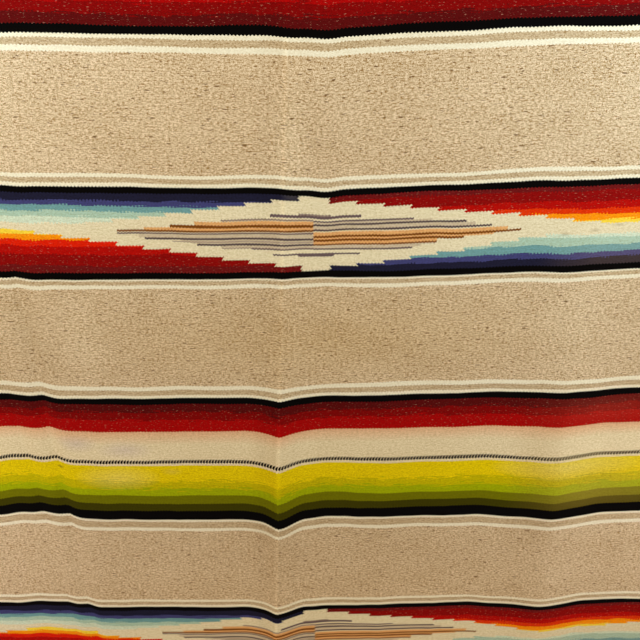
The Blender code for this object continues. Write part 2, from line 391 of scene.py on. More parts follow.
RIGHT_STRIPES = (
    ("grey violet", 27.0, 29.0, 0.65),
    ("violet",      29.0, 32.2, 1.76),
    ("violet",      34.6, 36.6, 3.70),
    ("grey cream",  36.6, 39.0, 4.40),
    ("dark violet", 39.0, 41.2, 5.65),
    ("grey cream",  41.2, 45.2, 6.00),
    ("dark violet", 45.2, 47.4, 6.60),
    ("apricot",     48.7, 52.3, 7.20),
    ("rust",        52.3, 54.7, 7.70),
    ("apricot",     54.7, 56.4, 6.70),
    ("rust",        56.4, 59.0, 5.60),
    ("apricot",     59.0, 61.8, 4.60),
    ("rust",        61.8, 63.6, 4.60),
    ("grey cream",  63.6, 65.0, 4.60),
    ("grey cream",  65.0, 67.5, 4.00),
    ("violet",      67.5, 69.3, 3.70),
    ("violet",      73.6, 75.6, 1.74),
    ("violet",      75.6, 78.0, 0.76),
)
STRIPE_SPAN = (20.0, 84.0)
STRIPE_REACH_MOST = 8.0


def tall(chart):
    """Height of a chart of bands in metres, the sum of its rows."""
    return sum(height for _dye, height in chart) * MM


TOP_TRIM_HEIGHT, LOW_TRIM_HEIGHT = tall(TOP_TRIM), tall(LOW_TRIM)
DIAMOND_BAND = tall(LEFT_HALF) - TOP_TRIM_HEIGHT - LOW_TRIM_HEIGHT
BLACK_TOP, BLACK_LOW = 7.0 * MM, 7.5 * MM
PLAIN_FIELD = 153.1 * MM
RED_TRIM, REDS, GOLDS = RED_SIDE[:4], RED_SIDE[5:8], GOLD_SIDE[:3]
print("diamond band, mm:", round(DIAMOND_BAND / MM, 1))
print("halves differ by, mm:", round((tall(RIGHT_HALF) - tall(LEFT_HALF)) / MM, 2))

# %% [markdown]
# ## One way to add a node
# A material is a graph. This helper adds one node, sets its properties, fills or links its
# inputs and gives back one output, so that a line of code reads as one step of the graph.


# %% Node and ramp helpers
def add(tree, kind, *inputs, at=None, out=0, **settings):
    """Add a node: inputs go to its sockets in order, or by number in at, as values or links."""
    made = tree.nodes.new("ShaderNode" + kind)
    for name, value in settings.items():
        setattr(made, name, value)
    for key, value in {**dict(enumerate(inputs)), **(at or {})}.items():
        if isinstance(value, bpy.types.NodeSocket):
            tree.links.new(value, made.inputs[key])
        elif value is not None:
            made.inputs[key].default_value = value
    return made.outputs[out]


def fill_ramp(socket, stops):
    """Give a stepped ramp its stops: rows of position from 0 to 1, linear colour and alpha."""
    ramp = socket.node.color_ramp
    ramp.interpolation = "CONSTANT"
    while len(ramp.elements) > 1:
        ramp.elements.remove(ramp.elements[-1])
    for number, (position, colour, alpha) in enumerate(stops):
        stop = ramp.elements[0] if number == 0 else ramp.elements.new(position)
        stop.position = position
        stop.color = (*colour[:3], alpha)


def band_stops(chart):
    """Ramp stops of a chart of bands; alpha holds each dye's share of heather."""
    whole = sum(height for _dye, height in chart)
    stops, at = [], 0.0
    for dye, height in chart:
        colour, heather = DYES[dye]
        stops.append((at / whole, linear(colour), heather))
        at += height
    return stops


def stripe_stops(chart):
    """Ramp stops of the thin stripes; alpha holds each stripe's reach, and 0 between them."""
    low, high = STRIPE_SPAN
    ground = linear(DYES["cream"][0])
    stops = [(0.0, ground, 0.0)]
    for number, (dye, start, end, reach) in enumerate(chart):
        stops.append(((start - low) / (high - low), linear(DYES[dye][0]), reach / STRIPE_REACH_MOST))
        following = chart[number + 1][1] if number + 1 < len(chart) else high
        if following > end:
            stops.append(((end - low) / (high - low), ground, 0.0))
    return stops


print("stops of the fullest ramp:", max(len(stripe_stops(LEFT_STRIPES)), len(band_stops(LEFT_HALF))))

# %% [markdown]
# ## Weft-faced wool
# What the eye sees in this wool: a matt face with fine ribs over the warps, single passes of
# weft a little lighter or darker than the next, sandy heather with brown flecks, white hairs in
# the reds, and saw teeth along each colour edge. All of it is worked out from the UV map in
# metres. The pattern could be painted as an image, but a graph keeps every edge sharp at any
# distance. First come the places: where a point is in the repeat, with its teeth and wander.


# %% Places in the pattern
TOOTH_HEIGHT = 0.55 * MM
NOISE_SPAN = (0.3, 0.7)
# A wander bends a whole line, and a streak mixes two dyes where they meet. Each has the noise's
# scale across and along per metre, its detail and how far it shifts the place.
WANDER = ((9.0, 36.0, 1.0), 3.0, 1.1 * MM)
STREAK = ((52.0, 480.0, 1.0), 2.0, 3.4 * MM)


def pattern_places(tree):
    """Sockets for the point's place: across, along, along with teeth, and how far dyes mix."""
    uv = add(tree, "UVMap", uv_map="cloth")
    across = add(tree, "SeparateXYZ", uv)
    along = across.node.outputs[1]
    tooth_angle = add(tree, "Math", across, 2.0 * math.pi / TOOTH, operation="MULTIPLY")
    tooth = add(tree, "Math", tooth_angle, operation="SINE")
    tooth = add(tree, "Math", tooth, TOOTH_HEIGHT, operation="MULTIPLY")
    shifts = []
    for scale, detail, reach in (WANDER, STREAK):
        place = add(tree, "VectorMath", uv, scale, operation="MULTIPLY")
        noise = add(tree, "TexNoise", at={"Vector": place, "Scale": 1.0, "Detail": detail})
        shifts.append(add(tree, "MapRange", noise, *NOISE_SPAN, -reach, reach))
    wander, streak = shifts
    level = add(tree, "Math", along, tooth, operation="ADD")
    level = add(tree, "Math", level, wander, operation="ADD")
    return uv, across, along, tooth_angle, level, streak


# %% [markdown]
# The repeat holds one diamond band and one rainbow band with plain fields between. The rainbow
# band turns its red side towards the middle of the blanket at both ends, so its place is counted
# outwards from the middle. The diamond's steps are sixteen warps wide. Each row of steps has its
# end cut on a slant, because the weaver moves the turn of the weft by a warp or two at a time.
# Inside a band, where one dye follows the next, short streaks of both run past the change.

# %% Diamond and bands
STEP_ROWS = {
    # quarter: depth of the first row's inner edge and height of a row in mm, first step
    "upper left":  (5.8, 3.65, 0.54),
    "lower left":  (6.6, 4.10, 0.46),
    "upper right": (6.6, 3.60, 0.58),
    "lower right": (5.6, 3.80, 0.64),
}
SLANT = 0.11
TIP_STEPS = 12.2
MIXES_WITHIN = (1.5 * MM, 6.0 * MM)
DIAMOND_MIXING, RED_MIXING, GOLD_MIXING = 0.4, 1.0, 1.6
BLEED_REACH, BLEED_AMOUNT, BLEED_COLOUR = 19.0 * MM, 0.65, "#d68d60"
HATCH_FROM, HATCH_TO = 41.9 * MM, 47.1 * MM
TICK_LEAN, TICK_ABOVE = 0.32, -0.74


def step_limit(tree, depth, is_right, left, right):
    """How many steps from the middle the cream reaches at this depth below the black.

    The limit is first step + whole rows of depth, less the slant times the part of the row.
    """
    offset = add(tree, "MapRange", is_right, 0.0, 1.0, *((q[0] - q[1]) * MM for q in (left, right)))
    height = add(tree, "MapRange", is_right, 0.0, 1.0, left[1] * MM, right[1] * MM)
    first = add(tree, "MapRange", is_right, 0.0, 1.0, left[2], right[2])
    rows = add(tree, "Math", depth, offset, operation="SUBTRACT")
    rows = add(tree, "Math", rows, height, operation="DIVIDE")
    whole = add(tree, "Math", rows, operation="FLOOR")
    whole = add(tree, "Math", whole, 0.0, operation="MAXIMUM")
    part = add(tree, "Math", rows, operation="FRACT")
    limit = add(tree, "Math", part, -SLANT, 0.5 * SLANT, operation="MULTIPLY_ADD")
    limit = add(tree, "Math", limit, whole, operation="ADD")
    return add(tree, "Math", limit, first, operation="ADD")


def diamond_colour(tree, across, level, streak):
    """Colour and heather of the diamond band, and 1 where the point lies in it."""
    repeats = add(tree, "Math", level, 1.0 / BAND_REPEAT, operation="MULTIPLY")
    repeats = add(tree, "Math", repeats, operation="ROUND")
    local = add(tree, "Math", repeats, -BAND_REPEAT, level, operation="MULTIPLY_ADD")
    upper, lower = 0.5 * DIAMOND_BAND + TOP_TRIM_HEIGHT, 0.5 * DIAMOND_BAND + LOW_TRIM_HEIGHT
    from_top = add(tree, "Math", 0.5 * DIAMOND_BAND - BLACK_TOP, local, operation="SUBTRACT")
    from_low = add(tree, "Math", local, 0.5 * DIAMOND_BAND - BLACK_LOW, operation="ADD")
    nearest = add(tree, "Math", from_top, from_low, operation="MINIMUM")
    mixing = add(tree, "MapRange", nearest, *MIXES_WITHIN, 0.0, DIAMOND_MIXING)
    mixed = add(tree, "Math", mixing, streak, local, operation="MULTIPLY_ADD")
    down = add(tree, "MapRange", mixed, upper, -lower, 0.0, 1.0)
    left = add(tree, "ValToRGB", down)
    right = add(tree, "ValToRGB", down)
    fill_ramp(left, band_stops(LEFT_HALF))
    fill_ramp(right, band_stops(RIGHT_HALF))
    is_right = add(tree, "Math", across, 0.0, operation="GREATER_THAN")
    bands = add(tree, "Mix", at={0: is_right, 6: left, 7: right}, out=2, data_type="RGBA")
    heather = add(
        tree, "Mix", at={0: is_right, 2: left.node.outputs[1], 3: right.node.outputs[1]}
    )

    # The cream diamond with its stepped edge
    steps = add(tree, "Math", across, operation="ABSOLUTE")
    step = add(tree, "MapRange", is_right, 0.0, 1.0, STEP_LEFT, STEP_RIGHT)
    steps = add(tree, "Math", steps, step, operation="DIVIDE")
    steps = add(tree, "Math", steps, TIP_STEPS, operation="PINGPONG")
    rows = STEP_ROWS
    top_limit = step_limit(tree, from_top, is_right, rows["upper left"], rows["upper right"])
    low_limit = step_limit(tree, from_low, is_right, rows["lower left"], rows["lower right"])
    limit = add(tree, "Math", top_limit, low_limit, operation="MINIMUM")
    in_cream = add(tree, "Math", steps, limit, operation="LESS_THAN")
    past_black = add(tree, "Math", nearest, 0.0, operation="GREATER_THAN")
    in_cream = add(tree, "Math", in_cream, past_black, operation="MULTIPLY")
    cream, cream_heather = DYES["cream"]

    # The small diamond of thin stripes
    below = [edge * MM - BLACK_TOP for edge in STRIPE_SPAN]
    stripe_place = add(tree, "MapRange", from_top, *below, 0.0, 1.0)
    left = add(tree, "ValToRGB", stripe_place)
    right = add(tree, "ValToRGB", stripe_place)
    fill_ramp(left, stripe_stops(LEFT_STRIPES))
    fill_ramp(right, stripe_stops(RIGHT_STRIPES))
    stripes = add(tree, "Mix", at={0: is_right, 6: left, 7: right}, out=2, data_type="RGBA")
    reach = add(tree, "Mix", at={0: is_right, 2: left.node.outputs[1], 3: right.node.outputs[1]})
    reach = add(tree, "Math", reach, STRIPE_REACH_MOST, operation="MULTIPLY")
    in_stripe = add(tree, "Math", steps, reach, operation="LESS_THAN")
    inside = add(
        tree, "Mix", at={0: in_stripe, 6: linear(cream), 7: stripes}, out=2, data_type="RGBA"
    )
    colour = add(tree, "Mix", at={0: in_cream, 6: bands, 7: inside}, out=2, data_type="RGBA")
    heather = add(tree, "Mix", at={0: in_cream, 2: heather, 3: cream_heather})
    above = add(tree, "Math", local, upper, operation="LESS_THAN")
    below = add(tree, "Math", local, -lower, operation="GREATER_THAN")
    return colour, heather, add(tree, "Math", above, below, operation="MULTIPLY")


def rainbow_colour(tree, across, level, streak):
    """Colour and heather of the fields and the rainbow band, counted out from the middle.

    A tick of the hatched line is black where sin(2 pi (across + lean * depth) / tooth) is above
    its threshold.
    """
    out = add(tree, "Math", level, operation="ABSOLUTE")
    out = add(tree, "Math", out, BAND_REPEAT - 0.5 * DIAMOND_BAND, operation="ADD")
    out = add(tree, "Math", out, BAND_REPEAT, operation="MODULO")
    red_from = PLAIN_FIELD - tall(RED_TRIM)
    gold_from = red_from + tall(RED_SIDE)
    cream_from = gold_from - tall(RED_SIDE[-1:])
    mixed = out
    mixing_spans = (
        (cream_from - tall(REDS), tall(REDS), RED_MIXING),
        (gold_from, tall(GOLDS), GOLD_MIXING),
    )
    for start, depth, share in mixing_spans:
        above = add(tree, "Math", out, start, operation="SUBTRACT")
        below = add(tree, "Math", start + depth, out, operation="SUBTRACT")
        nearest = add(tree, "Math", above, below, operation="MINIMUM")
        mixing = add(tree, "MapRange", nearest, *MIXES_WITHIN, 0.0, share)
        mixed = add(tree, "Math", mixing, streak, mixed, operation="MULTIPLY_ADD")
    red_place = add(tree, "MapRange", mixed, red_from, gold_from, 0.0, 1.0)
    gold_place = add(tree, "MapRange", mixed, gold_from, gold_from + tall(GOLD_SIDE), 0.0, 1.0)
    red = add(tree, "ValToRGB", red_place)
    gold = add(tree, "ValToRGB", gold_place)
    fill_ramp(red, band_stops(RED_SIDE))
    fill_ramp(gold, band_stops(GOLD_SIDE))
    past = add(tree, "Math", out, gold_from, operation="GREATER_THAN")
    colour = add(tree, "Mix", at={0: past, 6: red, 7: gold}, out=2, data_type="RGBA")
    heather = add(tree, "Mix", at={0: past, 2: red.node.outputs[1], 3: gold.node.outputs[1]})

    # The red that ran into the cream, and the hatched line
    into_cream = add(tree, "Math", out, cream_from, operation="SUBTRACT")
    bleed = add(tree, "MapRange", into_cream, 0.0, BLEED_REACH, BLEED_AMOUNT, 0.0)
    below = add(tree, "Math", into_cream, 0.0, operation="GREATER_THAN")
    bleed = add(tree, "Math", bleed, below, operation="MULTIPLY")
    colour = add(
        tree, "Mix", at={0: bleed, 6: colour, 7: linear(BLEED_COLOUR)}, out=2, data_type="RGBA"
    )
    tick = add(tree, "Math", into_cream, TICK_LEAN, across, operation="MULTIPLY_ADD")
    tick = add(tree, "Math", tick, 2.0 * math.pi / TOOTH, operation="MULTIPLY")
    tick = add(tree, "Math", tick, operation="SINE")
    tick = add(tree, "Math", tick, TICK_ABOVE, operation="GREATER_THAN")
    for edge, test in ((HATCH_FROM, "GREATER_THAN"), (HATCH_TO, "LESS_THAN")):
        within = add(tree, "Math", into_cream, edge, operation=test)
        tick = add(tree, "Math", tick, within, operation="MULTIPLY")
    black = linear(DYES["black"][0])
    colour = add(tree, "Mix", at={0: tick, 6: colour, 7: black}, out=2, data_type="RGBA")
    return colour, heather


# %% [markdown]
# Over the plain pattern come the things that make it wool. Heather and flecks are noise that is
# stretched along the weft, because a fibre or a tuft lies along its yarn. A single fibre is too
# fine to draw, so the finest grain is a tuft about a millimetre long. The faded side, the stains,
# the lighter line on the centre fold's crest, painted highlights and painted shade along the
# folds, and a darker patch in the middle are placed where the photograph shows them.

# %% Wool over the pattern
GRAIN = {
    # noise:      across and along per metre, detail
    "fibre":      ((760.0, 980.0, 1.0), 2.0),
    "tuft":       ((300.0, 560.0, 1.0), 2.0),
    "pass":       ((40.0, 900.0, 1.0), 1.0),
    "fleck":      ((120.0, 430.0, 1.0), 1.0),
    "kemp":       ((280.0, 1150.0, 1.0), 1.0),
    "sun":        ((9.0, 22.0, 1.0), 2.0),
}
# Heather is the fibre noise plus shares of three others. Its span is spread from -reach to
# reach and cut off at the top, and its strength grows from black wool to undyed wool.
HEATHER_MIX = (("tuft", 0.8), ("pass", 0.25), ("sun", 0.12))
HEATHER_SPAN, HEATHER_REACH, HEATHER_TOP = (0.735, 1.435), 1.05, 0.55
HEATHER_STRENGTH = (0.08, 0.91)
BROWNING = (0.80, 1.00, 1.35)
SHADE_LEAST = (0.05, 0.05, 0.05)
# Hairs and flecks show from the lower to the upper end of their noise's span
KEMP_SPAN, KEMP_AMOUNT, KEMP_COLOUR = (0.66, 0.77), 0.45, "#dfa584"
FLECK_SPAN, FLECK_AMOUNT, FLECK_COLOUR = (0.67, 0.72), 0.90, "#5e3a0c"
# How black, how undyed and how red a wool is, and where across the sun has faded it
BLACK_TO_DYED, UNDYED_SPAN, RED_SPAN = (0.05, 0.20), (0.35, 1.0), (0.02, 0.08)
SUN_SPAN, SUN_WANDER, SUN_FADE, SUN_COLOUR = (0.30, 0.38), 0.12, 0.08, "#c79a48"
# Rough fibre's scale across and along per metre, and the share of the weave's beads
ROUGH_FIBRE, BEAD_SHARE = (700.0, 1400.0, 1.0), 0.25
MARK_SOFT_EDGE = 1.2
STAINS_AND_PAINTED_LIGHT = (
    # across, along, half width, half height in mm, amount, colour
    (-285.0, -271.0,  22.0, 12.0, 0.34, "#b09aa4"),
    (-229.0, -279.0,  30.0, 12.0, 0.34, "#b09aa4"),
    (-241.0, -321.0,  44.0, 17.0, 0.24, "#e6d690"),
    (-175.0, -312.0,  12.0,  5.0, 0.25, "#b59c58"),
    ( 268.0,   -8.0,   5.0,  2.0, 0.55, "#8f7a58"),
    ( 299.0,   -5.0,   6.0,  2.0, 0.50, "#8f7a58"),
    ( 324.0,    0.0,   6.0,  2.0, 0.50, "#94805e"),
    (-309.0, -311.0,   4.0,  2.5, 0.75, "#4d3a14"),
    # A broad patch, darker in the middle of the cloth
    (  20.0, -128.0, 240.0, 62.0, 0.42, "#b49159"),
    ( 310.0, -312.0,  80.0, 16.0, 0.30, "#e0cf94"),
    # Painted shade along the left valley fold, and a painted highlight on the slope to its right
    (-322.0, -105.0,  20.0, 40.0, 0.25, "#a48b63"),
    (-308.0, -150.0,  26.0, 40.0, 0.25, "#a48b63"),
    (-258.0, -130.0,  26.0, 60.0, 0.25, "#dcc49c"),
    # Painted highlights on the crests of the centre fold and the right fold
    ( -22.0,  105.0,  20.0, 60.0, 0.28, "#e4cfa8"),
    ( 285.0, -115.0,  40.0, 60.0, 0.20, "#dfc8a0"),
    ( 345.0, -345.0,  95.0, 45.0, 0.24, "#c2a044"),
    ( 350.0, -230.0,  95.0, 32.0, 0.16, "#c8503a"),
)
CREST_LINE_AND_PAINTED_FOLD_SHADE = (
    # across, lean, half width in mm, amount: a lighter line on the crest, a painted highlight on
    # the crest's right side and painted shade on its left side
    (-0.033, 0.035, 3.6, 0.13),
    (-0.023, 0.035, 9.0, 0.035),
    (-0.054, 0.035, 11.0, -0.035),
)


def grains(tree, uv):
    """One noise socket for each row of the table, stretched by its own scales."""
    noises = {}
    for name, (scale, detail) in GRAIN.items():
        place = add(tree, "VectorMath", uv, scale, operation="MULTIPLY")
        noises[name] = add(tree, "TexNoise", at={"Vector": place, "Scale": 1.0, "Detail": detail})
    return noises


def redness(tree, colour):
    """How red a colour is: red - 2 green, from 0 at the span's start to 1 at its end."""
    red = add(tree, "SeparateXYZ", colour)
    over = add(tree, "Math", red.node.outputs[1], -2.0, red, operation="MULTIPLY_ADD")
    return add(tree, "MapRange", over, *RED_SPAN, 0.0, 1.0)


def aged(tree, uv, across, along, colour, heather, noises):
    """Sun fading at the right, lighter and darker lines along the centre fold, and soft ovals.

    Black wool keeps its colour, so amounts are scaled by 0 at black and 1 at dyed wool. The sun
    takes the share fade * (1 - heather) * (1 - redness), since undyed wool and the fast red dye
    keep theirs. A line along the centre fold changes brightness by 1 + amount: a lighter line on
    its crest, a painted highlight on its right side and painted shade on its left side. The ovals
    are stains, painted shade and highlights along the folds, and a darker patch in the middle.
    """
    not_black = add(tree, "MapRange", heather, *BLACK_TO_DYED, 0.0, 1.0)
    edge = add(tree, "Math", noises["sun"], SUN_WANDER, across, operation="MULTIPLY_ADD")
    sun = add(tree, "MapRange", edge, *SUN_SPAN, 0.0, SUN_FADE)
    for share in (heather, redness(tree, colour)):
        kept = add(tree, "Math", 1.0, share, operation="SUBTRACT")
        sun = add(tree, "Math", sun, kept, operation="MULTIPLY")
    places = [(sun, SUN_COLOUR)]
    # A lighter line on the centre fold's crest, a painted highlight on its right side and painted shade
    # on its left side
    for place, lean, half_width, amount in CREST_LINE_AND_PAINTED_FOLD_SHADE:
        away = add(tree, "Math", along, -lean, across, operation="MULTIPLY_ADD")
        away = add(tree, "Math", away, place, operation="SUBTRACT")
        away = add(tree, "Math", away, operation="ABSOLUTE")
        crest_line_and_painted_shade = add(tree, "MapRange", away, half_width * MM, 0.0, 1.0, 1.0 + amount)
        colour = add(tree, "VectorMath", colour, at={3: crest_line_and_painted_shade}, operation="SCALE")
    # Stains, painted shade and highlights along the folds, and a darker middle patch, as soft ovals
    for mark_across, mark_along, half_width, half_height, amount, hue in STAINS_AND_PAINTED_LIGHT:
        centre = (-mark_across * MM, -mark_along * MM, 0.0)
        size = (1.0 / (half_width * MM), 1.0 / (half_height * MM), 1.0)
        place = add(tree, "VectorMath", uv, centre, operation="ADD")
        place = add(tree, "VectorMath", place, size, operation="MULTIPLY")
        far = add(tree, "VectorMath", place, operation="LENGTH", out=1)
        places.append((add(tree, "MapRange", far, MARK_SOFT_EDGE, 0.0, 0.0, amount), hue))
    for amount, hue in places:
        amount = add(tree, "Math", amount, not_black, operation="MULTIPLY")
        colour = add(
            tree, "Mix", at={0: amount, 6: colour, 7: linear(hue)}, out=2, data_type="RGBA"
        )
    return colour


def wool_colour(tree, colour, heather, noises):
    """The colour times 1 + strength * noise * browning, with dark flecks and light kemp hairs.

    The noise is cut off at its top, since dark fibres stand out in pale wool more than light
    ones. They are brown, so they take more of the blue than of the red.
    """
    mixed = noises["fibre"]
    for name, share in HEATHER_MIX:
        mixed = add(tree, "Math", noises[name], share, mixed, operation="MULTIPLY_ADD")
    mixed = add(tree, "MapRange", mixed, *HEATHER_SPAN, -HEATHER_REACH, HEATHER_REACH)
    mixed = add(tree, "Math", mixed, HEATHER_TOP, operation="MINIMUM")
    strength = add(tree, "MapRange", heather, 0.0, 1.0, *HEATHER_STRENGTH)
    amount = add(tree, "Math", mixed, strength, operation="MULTIPLY")
    shade = add(tree, "VectorMath", BROWNING, at={3: amount}, operation="SCALE")
    shade = add(tree, "VectorMath", shade, (1.0, 1.0, 1.0), operation="ADD")
    shade = add(tree, "VectorMath", shade, SHADE_LEAST, operation="MAXIMUM")
    colour = add(tree, "VectorMath", colour, shade, operation="MULTIPLY")

    kemp = add(tree, "MapRange", noises["kemp"], *KEMP_SPAN, 0.0, KEMP_AMOUNT)
    kemp = add(tree, "Math", kemp, redness(tree, colour), operation="MULTIPLY")
    fleck = add(tree, "MapRange", noises["fleck"], *FLECK_SPAN, 0.0, FLECK_AMOUNT)
    undyed = add(tree, "MapRange", heather, *UNDYED_SPAN, 0.0, 1.0)
    fleck = add(tree, "Math", fleck, undyed, operation="MULTIPLY")
    for amount, hue in ((fleck, FLECK_COLOUR), (kemp, KEMP_COLOUR)):
        colour = add(
            tree, "Mix", at={0: amount, 6: colour, 7: linear(hue)}, out=2, data_type="RGBA"
        )
    return colour


def weave_height(tree, along, tooth_angle, uv):
    """Height of the face: rough fibre + share * sin(pi along / pick) * cos(tooth angle).

    The product is a bead on every second warp, where a pass of weft goes over it.
    """
    passes = add(tree, "Math", along, math.pi / PICK, operation="MULTIPLY")
    passes = add(tree, "Math", passes, operation="SINE")
    ribs = add(tree, "Math", tooth_angle, operation="COSINE")
    beads = add(tree, "Math", passes, ribs, operation="MULTIPLY")
    fibre = add(tree, "VectorMath", uv, ROUGH_FIBRE, operation="MULTIPLY")
    fibre = add(tree, "TexNoise", at={"Vector": fibre, "Scale": 1.0, "Detail": 3.0})
    return add(tree, "Math", beads, BEAD_SHARE, fibre, operation="MULTIPLY_ADD")


def weft_faced_wool():
    """The panel's material: dyed and undyed handspun wool, matt, with a short nap."""
    material = bpy.data.materials.new("weft_faced_wool")
    material.use_nodes = True
    tree = material.node_tree
    shader = tree.nodes["Principled BSDF"]
    uv, across, along, tooth_angle, level, streak = pattern_places(tree)
    band, band_heather, in_band = diamond_colour(tree, across, level, streak)
    field, field_heather = rainbow_colour(tree, across, level, streak)
    colour = add(tree, "Mix", at={0: in_band, 6: field, 7: band}, out=2, data_type="RGBA")
    heather = add(tree, "Mix", at={0: in_band, 2: field_heather, 3: band_heather})
    noises = grains(tree, uv)
    colour = aged(tree, uv, across, along, colour, heather, noises)
    colour = wool_colour(tree, colour, heather, noises)
    tree.links.new(colour, shader.inputs["Base Color"])
    shader.inputs["Roughness"].default_value = 0.92
    shader.inputs["Specular IOR Level"].default_value = 0.02
    shader.inputs["Sheen Weight"].default_value = 0.01
    shader.inputs["Sheen Roughness"].default_value = 0.6
    height = weave_height(tree, along, tooth_angle, uv)
    bump = add(tree, "Bump", at={"Height": height, "Distance": 0.5 * MM, "Strength": 0.46})
    tree.links.new(bump, shader.inputs["Normal"])
    return material


panel = woven_panel(weft_faced_wool())

# %% [markdown]
# ## Fringe
# The warp ends are tied in knots of twelve and left loose past the knot. A lock could be one
# twisted rope, but the real one is a bundle of separate yarns, so each yarn is its own thin
# tube: it leaves its own place on the cloth's end, runs into the knot, and spreads again to the
# tip. All the tubes of one end are computed as one array.

# %% Build the fringe
WARPS_IN_KNOT = 12
KNOT_PITCH = WARPS_IN_KNOT * WARP_PITCH
KNOT_COUNT = int(WIDTH / KNOT_PITCH)
LOCK_REACH = 95.0 * MM
LOCK_TRIM = 6.0 * MM
LOCK_SWAY = 3.0 * MM
LOCK_SETTLE = 30.0 * MM
LOCK_CLEARANCE = 0.5 * MM
YARN_RADIUS = 0.62 * MM
YARN_SIDES, YARN_POINTS = 4, 22
# How far a yarn's root runs into the heading, and how unevenly its end is trimmed
YARN_ROOT, YARN_TRIM = 4.0 * MM, 3.0 * MM
# A wiggle's width, its turn in radians per metre, and how far its start varies in radians
YARN_WIGGLE, WIGGLE_RATE, CURL = 0.9 * MM, 160.0, 9.0
# How far the layers of a knot spread, and their turn in radians from yarn to yarn
LAYER_SPREAD, LAYER_TURN = 0.8, 2.4
TIP_SHARE = 0.4
LOCK_SHAPE = (
    # reach, half width, half height in mm
    (-4.0, 10.0, 0.2),
    (0.0,  8.0,  0.3),
    (8.0,  2.2,  1.1),
    (12.5, 1.7,  1.4),
    (17.5, 2.0,  1.3),
    (48.0, 3.1,  1.1),
    (80.0, 3.7,  0.8),
    (95.0, 3.4,  0.6),
)


def lock_noise(index, salt):
    """A fixed number from -1 to 1 for each index, the same as the solid's."""
    return 2.0 * ((np.sin(index * 12.9898 + salt * 78.233) * 43758.5453) % 1.0) - 1.0


def plied_cotton():
    """Undyed two-ply cotton warp: matt, off white, a little soiled."""
    material = bpy.data.materials.new("plied_cotton")
    material.use_nodes = True
    tree = material.node_tree
    shader = tree.nodes["Principled BSDF"]
    place = add(tree, "TexCoord", out=3)
    soil = add(tree, "TexNoise", at={"Vector": place, "Scale": 60.0, "Detail": 4.0})
    soil = add(tree, "MapRange", soil, 0.35, 0.7, 0.0, 1.0)
    colour = add(
        tree, "Mix", at={0: soil, 6: linear("#dccfb4"), 7: linear("#bfae8e")}, out=2,
        data_type="RGBA",
    )
    tree.links.new(colour, shader.inputs["Base Color"])
    shader.inputs["Roughness"].default_value = 0.9
    shader.inputs["Specular IOR Level"].default_value = 0.25
    return material


def tubes(path, radius, sides):
    """Rings round paths, where path is tube, point, xyz.

    A ring's corner is path + radius * (cos(angle) * beside + sin(angle) * over), so the ring
    stands across its path's run.
    """
    ahead = np.gradient(path, axis=1)
    ahead /= np.linalg.norm(ahead, axis=-1, keepdims=True)
    up = np.broadcast_to(np.array([0.0, 0.0, 1.0]), ahead.shape)
    beside = np.cross(ahead, up)
    beside /= np.linalg.norm(beside, axis=-1, keepdims=True) + 1e-9
    over = np.cross(beside, ahead)
    angle = 2.0 * np.pi * np.arange(sides) / sides
    ring = np.cos(angle)[:, None] * beside[..., None, :] + np.sin(angle)[:, None] * over[..., None, :]
    return path[:, :, None, :] + radius[..., None, None] * ring


def tube_faces(count, length, sides):
    """Side and end faces of the tubes, four corners each."""
    index = np.arange(count * length * sides).reshape(count, length, sides)
    beside = np.roll(index, -1, axis=2)
    side = np.stack([index[:, :-1], beside[:, :-1], beside[:, 1:], index[:, 1:]], axis=-1)
    ends = [index[:, 0, ::-1], index[:, -1, :]]
    return np.concatenate([side.reshape(-1, 4)] + [end.reshape(-1, 4) for end in ends])


def fringe(name, node, side, material):
    """All the yarns and knots at one end, as arrays over knot, yarn and point of the yarn.

    Yarns of a knot stand side by side at place * half width, in layers that follow a sine. They
    wiggle as sin(rate * reach + curl), more towards the tip, and sink from the cloth's lift to
    the floor as exp(-(reach / settle)^2).
    """
    knot = np.arange(KNOT_COUNT)[:, None, None]
    yarn = np.arange(WARPS_IN_KNOT)[None, :, None]
    shape = np.array(LOCK_SHAPE) * MM
    reach = np.linspace(-YARN_ROOT, LOCK_REACH, YARN_POINTS)[None, None, :]
    half_width = np.interp(reach, shape[:, 0], shape[:, 1])
    half_height = np.interp(reach, shape[:, 0], shape[:, 2])
    place = (2.0 * yarn + 1.0) / WARPS_IN_KNOT - 1.0
    layer = LAYER_SPREAD * np.sin(yarn * LAYER_TURN + knot)
    middle = (knot - (KNOT_COUNT - 1) / 2) * KNOT_PITCH
    share = np.clip(reach / LOCK_REACH, 0.0, 1.0)
    sway = lock_noise(knot, side + 3.0) * LOCK_SWAY * share ** 1.5
    trim = lock_noise(knot, side) * LOCK_TRIM + lock_noise(yarn + 13.0 * knot, side) * YARN_TRIM
    curl = lock_noise(yarn + 7.0 * knot, 5.0) * CURL
    wiggle = YARN_WIGGLE * share * np.sin(reach * WIGGLE_RATE + curl)
    across = middle + sway + place * half_width + wiggle
    end = side * (LENGTH / 2 + HEADING)
    x0, y0, lift0 = laid(middle, np.full(middle.shape, end))
    x = x0 + (across - middle)
    y = y0 + side * (reach + trim * share ** 2)
    base = lift0 * np.exp(-((np.maximum(reach, 0.0) / LOCK_SETTLE) ** 2))
    z = base + LOCK_CLEARANCE + YARN_RADIUS + half_height * (1.0 + layer)
    path = np.stack([x, y, z], axis=-1).reshape(-1, reach.size, 3)
    radius = np.full(path.shape[:2], YARN_RADIUS)
    radius[:, -1] *= TIP_SHARE
    points = tubes(path, radius, YARN_SIDES)
    faces = tube_faces(len(path), reach.size, YARN_SIDES)
    piece = new_piece(name, points.reshape(-1, 3), faces, material)
    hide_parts(node)
    print(name, "triangles:", 2 * len(faces))
    return piece


